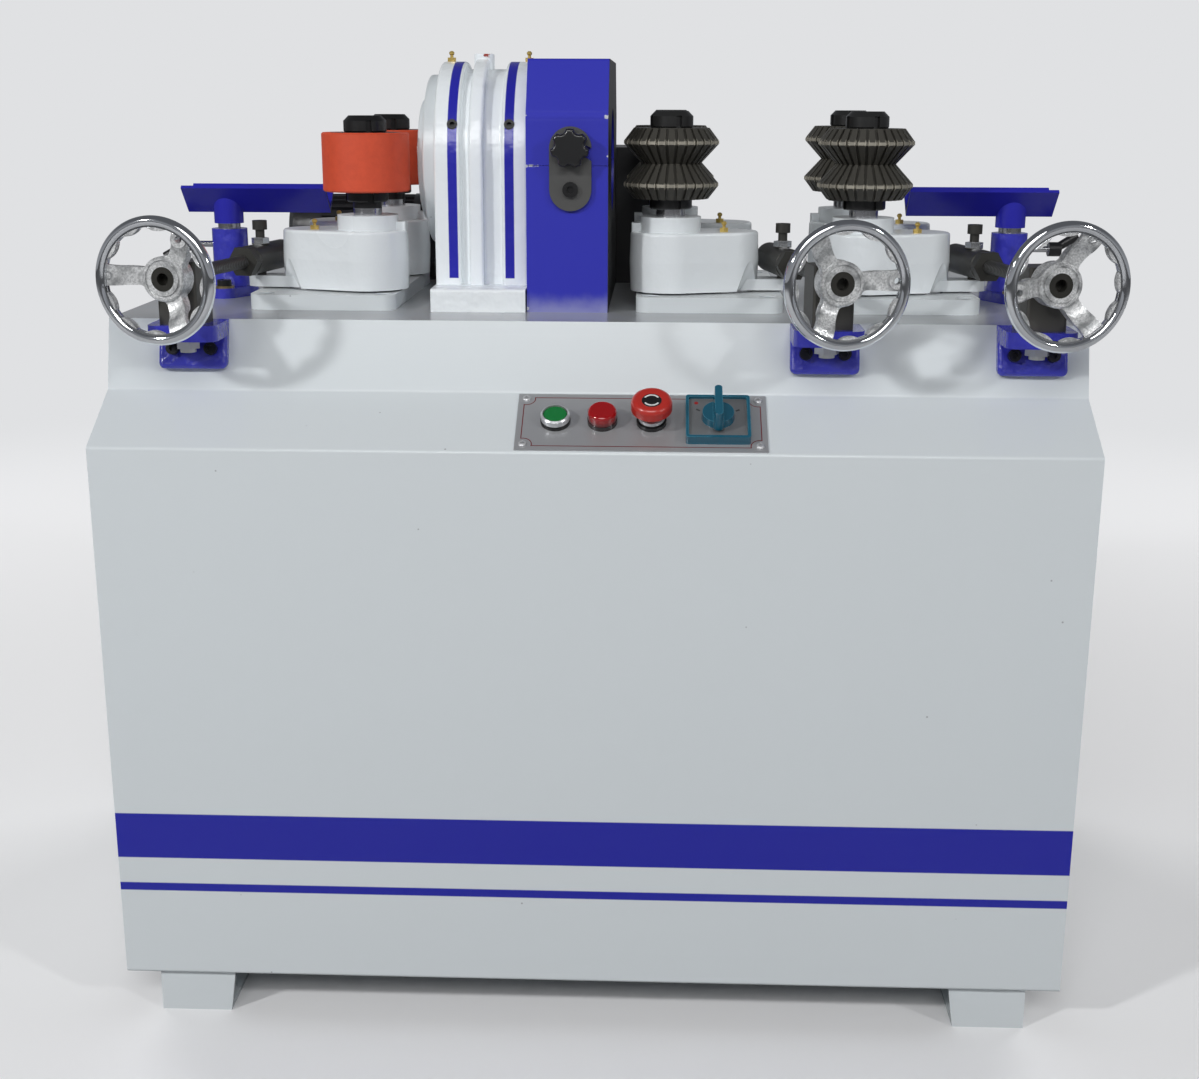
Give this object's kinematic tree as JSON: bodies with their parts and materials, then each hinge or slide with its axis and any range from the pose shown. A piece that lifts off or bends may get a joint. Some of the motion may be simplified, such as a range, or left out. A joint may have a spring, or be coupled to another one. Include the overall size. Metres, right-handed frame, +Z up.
{
  "type": "round stick making machine",
  "caption": "Floor-standing woodworking machine: toothed rollers feed square stock through a hollow rotary cutterhead, rubber rollers draw out the round stick.",
  "frame": {"origin": "on the floor, in the middle of the four anchor holes, straight under the stick's axis", "axes": "+X along the stick towards the infeed side (the operator's right), +Y away from the operator, +Z up"},
  "size_m": [1.0456, 0.6518, 1.01],
  "materials": {
    "white_paint": "gloss cool white",
    "table_paint": "gloss grey",
    "brass_fitting": "polished",
    "blue_paint": "gloss ultramarine",
    "black_paint": "satin black",
    "zinc": "bright zinc",
    "steel": "machined",
    "black_oxide": "black oxide",
    "dark_steel": "blackened teeth",
    "orange_rubber": "satin orange",
    "belt_rubber": "matt black",
    "wheel_chrome": "polished rim, cast spokes",
    "plate_aluminium": "brushed",
    "collar_chrome": "satin chrome",
    "green_plastic": "gloss",
    "red_plastic": "gloss",
    "red_lens": "ribbed lens",
    "teal_plastic": "gloss",
    "black_plastic": "matt",
    "latch_steel": "dull plate"
  },
  "bodies": {
    "frame": {"cabinet": "white_paint", "table_plate": "table_paint", "rear_cover": "white_paint", "control_plate": "plate_aluminium", "button_collars": "collar_chrome", "pilot_lens": "red_lens", "selector_frame": "teal_plastic", "arm_base_plates": "white_paint", "pivot_posts": "steel", "spindle_housing": "white_paint", "outlet_cap": "white_paint", "spindle_bearings": "steel", "guard_base": "blue_paint", "guard_cover": "blue_paint", "chip_chute": "black_paint", "wheel_brackets": "blue_paint", "trough_columns": "blue_paint", "main_motor": "black_paint", "drive_belts": "belt_rubber", "feed_gearmotor": "black_paint", "cap_screws": "black_oxide"},
    "spindle": {"hollow_spindle": "steel", "spindle_pulley": "dark_steel", "cutterhead": "steel"},
    "motor_rotor": {"motor_pulley": "dark_steel"},
    "guard_latch": {"latch_plate": "latch_steel"},
    "latch_knob": {"star_knob": "black_plastic"},
    "start_button": {"start_button": "green_plastic"},
    "stop_button": {"stop_button": "red_plastic"},
    "selector": {"selector_knob": "teal_plastic"},
    "trough_left": {"trough_left": "blue_paint"},
    "clamp_left": {"clamp_lever_left": "black_oxide"},
    "trough_right": {"trough_right": "blue_paint"},
    "clamp_right": {"clamp_lever_right": "black_oxide"},
    "outfeed_swivel": {"outfeed_swivel_block": "zinc"},
    "outfeed_wheel": {"outfeed_handwheel": "wheel_chrome", "outfeed_screw": "steel"},
    "outfeed_tube": {"outfeed_spring_tube": "black_oxide"},
    "outfeed_front_arm": {"outfeed_arm_front": "white_paint"},
    "outfeed_rear_arm": {"outfeed_arm_rear": "white_paint"},
    "outfeed_front_roller": {"outfeed_roller_front": "orange_rubber", "outfeed_spindle_front": "dark_steel"},
    "outfeed_rear_roller": {"outfeed_roller_rear": "orange_rubber", "outfeed_spindle_rear": "dark_steel"},
    "infeed_inner_swivel": {"infeed_inner_swivel_block": "zinc"},
    "infeed_inner_wheel": {"infeed_inner_handwheel": "wheel_chrome", "infeed_inner_screw": "steel"},
    "infeed_inner_tube": {"infeed_inner_spring_tube": "black_oxide"},
    "infeed_inner_front_arm": {"infeed_inner_arm_front": "white_paint"},
    "infeed_inner_rear_arm": {"infeed_inner_arm_rear": "white_paint"},
    "infeed_inner_front_roller": {"infeed_inner_roller_front": "dark_steel"},
    "infeed_inner_rear_roller": {"infeed_inner_roller_rear": "dark_steel"},
    "infeed_outer_swivel": {"infeed_outer_swivel_block": "zinc"},
    "infeed_outer_wheel": {"infeed_outer_handwheel": "wheel_chrome", "infeed_outer_screw": "steel"},
    "infeed_outer_tube": {"infeed_outer_spring_tube": "black_oxide"},
    "infeed_outer_front_arm": {"infeed_outer_arm_front": "white_paint"},
    "infeed_outer_rear_arm": {"infeed_outer_arm_rear": "white_paint"},
    "infeed_outer_front_roller": {"infeed_outer_roller_front": "dark_steel"},
    "infeed_outer_rear_roller": {"infeed_outer_roller_rear": "dark_steel"}
  },
  "joints": [
    {"name": "spindle_spin", "type": "hinge", "parent": "frame", "child": "spindle", "pos_m": [0, 0, 0.896], "axis": [1, 0, 0], "continuous": true},
    {"name": "motor_spin", "type": "hinge", "parent": "frame", "child": "motor_rotor", "pos_m": [0, 0, 0.183], "axis": [1, 0, 0], "continuous": true},
    {"name": "latch_swing", "type": "hinge", "parent": "frame", "child": "guard_latch", "pos_m": [-0.028, -0.148, 0.871], "axis": [0, -1, 0], "range_deg": [0, 60]},
    {"name": "knob_turn", "type": "hinge", "parent": "frame", "child": "latch_knob", "pos_m": [-0.028, -0.148, 0.913], "axis": [0, -1, 0], "range_deg": [0, 720]},
    {"name": "start_press", "type": "slide", "parent": "frame", "child": "start_button", "axis": [0, 0.4997, -0.8662], "range_m": [0, 0.0035], "stiffness_N_per_m": 600},
    {"name": "stop_press", "type": "slide", "parent": "frame", "child": "stop_button", "axis": [0, 0.4997, -0.8662], "range_m": [0, 0.005], "stiffness_N_per_m": 900},
    {"name": "selector_turn", "type": "hinge", "parent": "frame", "child": "selector", "pos_m": [0.126, -0.28175, 0.6508], "axis": [0, -0.4997, 0.8662], "range_deg": [-60, 60]},
    {"name": "trough_left_height", "type": "slide", "parent": "frame", "child": "trough_left", "axis": [0, 0, 1], "range_m": [-0.005, 0.03]},
    {"name": "clamp_left_turn", "type": "hinge", "parent": "frame", "child": "clamp_left", "pos_m": [-0.428, 0, 0.8], "axis": [-1, 0, 0], "range_deg": [-60, 60]},
    {"name": "trough_right_height", "type": "slide", "parent": "frame", "child": "trough_right", "axis": [0, 0, 1], "range_m": [-0.005, 0.03]},
    {"name": "clamp_right_turn", "type": "hinge", "parent": "frame", "child": "clamp_right", "pos_m": [0.46, 0, 0.8], "axis": [1, 0, 0], "range_deg": [-60, 60]},
    {"name": "outfeed_swivel_turn", "type": "hinge", "parent": "frame", "child": "outfeed_swivel", "pos_m": [-0.41, -0.255, 0.791], "axis": [0, 0, -1], "range_deg": [-0.28, 3.73]},
    {"name": "outfeed_wheel_turn", "type": "hinge", "parent": "outfeed_swivel", "child": "outfeed_wheel", "pos_m": [-0.41, -0.255, 0.791], "axis": [0.1808, 0.9835, 0], "range_deg": [-180, 2369.25]},
    {"name": "outfeed_tube_slide", "type": "slide", "parent": "outfeed_swivel", "child": "outfeed_tube", "axis": [-0.1808, -0.9835, 0], "range_m": [-0.002, 0.02635]},
    {"name": "outfeed_front_arm_swing", "type": "hinge", "parent": "frame", "child": "outfeed_front_arm", "pos_m": [-0.315, -0.07, 0.791], "axis": [0, 0, 1], "range_deg": [-2.05, 27.03]},
    {"name": "outfeed_front_roller_spin", "type": "hinge", "parent": "outfeed_front_arm", "child": "outfeed_front_roller", "pos_m": [-0.253, -0.0835, 0.896], "axis": [0, 0, 1], "continuous": true},
    {"name": "outfeed_rear_arm_swing", "type": "hinge", "parent": "frame", "child": "outfeed_rear_arm", "pos_m": [-0.315, 0.07, 0.791], "axis": [0, 0, -1], "range_deg": [-2.05, 27.03]},
    {"name": "outfeed_rear_roller_spin", "type": "hinge", "parent": "outfeed_rear_arm", "child": "outfeed_rear_roller", "pos_m": [-0.253, 0.0835, 0.896], "axis": [0, 0, 1], "continuous": true},
    {"name": "infeed_inner_swivel_turn", "type": "hinge", "parent": "frame", "child": "infeed_inner_swivel", "pos_m": [0.234, -0.255, 0.791], "axis": [0, 0, 1], "range_deg": [-0.28, 3.73]},
    {"name": "infeed_inner_wheel_turn", "type": "hinge", "parent": "infeed_inner_swivel", "child": "infeed_inner_wheel", "pos_m": [0.234, -0.255, 0.791], "axis": [-0.1808, 0.9835, 0], "range_deg": [-180, 2369.25]},
    {"name": "infeed_inner_tube_slide", "type": "slide", "parent": "infeed_inner_swivel", "child": "infeed_inner_tube", "axis": [0.1808, -0.9835, 0], "range_m": [-0.002, 0.02635]},
    {"name": "infeed_inner_front_arm_swing", "type": "hinge", "parent": "frame", "child": "infeed_inner_front_arm", "pos_m": [0.139, -0.07, 0.791], "axis": [0, 0, -1], "range_deg": [-2.05, 27.03]},
    {"name": "infeed_inner_front_roller_spin", "type": "hinge", "parent": "infeed_inner_front_arm", "child": "infeed_inner_front_roller", "pos_m": [0.077, -0.0835, 0.896], "axis": [0, 0, 1], "continuous": true},
    {"name": "infeed_inner_rear_arm_swing", "type": "hinge", "parent": "frame", "child": "infeed_inner_rear_arm", "pos_m": [0.139, 0.07, 0.791], "axis": [0, 0, 1], "range_deg": [-2.05, 27.03]},
    {"name": "infeed_inner_rear_roller_spin", "type": "hinge", "parent": "infeed_inner_rear_arm", "child": "infeed_inner_rear_roller", "pos_m": [0.077, 0.0835, 0.896], "axis": [0, 0, 1], "continuous": true},
    {"name": "infeed_outer_swivel_turn", "type": "hinge", "parent": "frame", "child": "infeed_outer_swivel", "pos_m": [0.442, -0.255, 0.791], "axis": [0, 0, 1], "range_deg": [-0.28, 3.73]},
    {"name": "infeed_outer_wheel_turn", "type": "hinge", "parent": "infeed_outer_swivel", "child": "infeed_outer_wheel", "pos_m": [0.442, -0.255, 0.791], "axis": [-0.1808, 0.9835, 0], "range_deg": [-180, 2369.25]},
    {"name": "infeed_outer_tube_slide", "type": "slide", "parent": "infeed_outer_swivel", "child": "infeed_outer_tube", "axis": [0.1808, -0.9835, 0], "range_m": [-0.002, 0.02635]},
    {"name": "infeed_outer_front_arm_swing", "type": "hinge", "parent": "frame", "child": "infeed_outer_front_arm", "pos_m": [0.347, -0.07, 0.791], "axis": [0, 0, -1], "range_deg": [-2.05, 27.03]},
    {"name": "infeed_outer_front_roller_spin", "type": "hinge", "parent": "infeed_outer_front_arm", "child": "infeed_outer_front_roller", "pos_m": [0.285, -0.0835, 0.896], "axis": [0, 0, 1], "continuous": true},
    {"name": "infeed_outer_rear_arm_swing", "type": "hinge", "parent": "frame", "child": "infeed_outer_rear_arm", "pos_m": [0.347, 0.07, 0.791], "axis": [0, 0, 1], "range_deg": [-2.05, 27.03]},
    {"name": "infeed_outer_rear_roller_spin", "type": "hinge", "parent": "infeed_outer_rear_arm", "child": "infeed_outer_rear_roller", "pos_m": [0.285, 0.0835, 0.896], "axis": [0, 0, 1], "continuous": true}
  ],
  "couplings": [
    {"joint": "motor_spin", "follows": "spindle_spin", "ratio": 0.93151},
    {"joint": "outfeed_swivel_turn", "follows": "outfeed_wheel_turn", "ratio": 0.0015727},
    {"joint": "outfeed_tube_slide", "follows": "outfeed_wheel_turn", "m_per_rad": 0.00063662},
    {"joint": "outfeed_front_arm_swing", "follows": "outfeed_wheel_turn", "ratio": 0.011396},
    {"joint": "outfeed_rear_arm_swing", "follows": "outfeed_wheel_turn", "ratio": 0.011396},
    {"joint": "outfeed_rear_roller_spin", "follows": "outfeed_front_roller_spin", "ratio": -1},
    {"joint": "infeed_inner_swivel_turn", "follows": "infeed_inner_wheel_turn", "ratio": 0.0015727},
    {"joint": "infeed_inner_tube_slide", "follows": "infeed_inner_wheel_turn", "m_per_rad": 0.00063662},
    {"joint": "infeed_inner_front_arm_swing", "follows": "infeed_inner_wheel_turn", "ratio": 0.011396},
    {"joint": "infeed_inner_rear_arm_swing", "follows": "infeed_inner_wheel_turn", "ratio": 0.011396},
    {"joint": "infeed_inner_front_roller_spin", "follows": "outfeed_front_roller_spin", "ratio": 1},
    {"joint": "infeed_inner_rear_roller_spin", "follows": "outfeed_front_roller_spin", "ratio": -1},
    {"joint": "infeed_outer_swivel_turn", "follows": "infeed_outer_wheel_turn", "ratio": 0.0015727},
    {"joint": "infeed_outer_tube_slide", "follows": "infeed_outer_wheel_turn", "m_per_rad": 0.00063662},
    {"joint": "infeed_outer_front_arm_swing", "follows": "infeed_outer_wheel_turn", "ratio": 0.011396},
    {"joint": "infeed_outer_rear_arm_swing", "follows": "infeed_outer_wheel_turn", "ratio": 0.011396},
    {"joint": "infeed_outer_front_roller_spin", "follows": "outfeed_front_roller_spin", "ratio": 1},
    {"joint": "infeed_outer_rear_roller_spin", "follows": "outfeed_front_roller_spin", "ratio": -1}
  ]
}
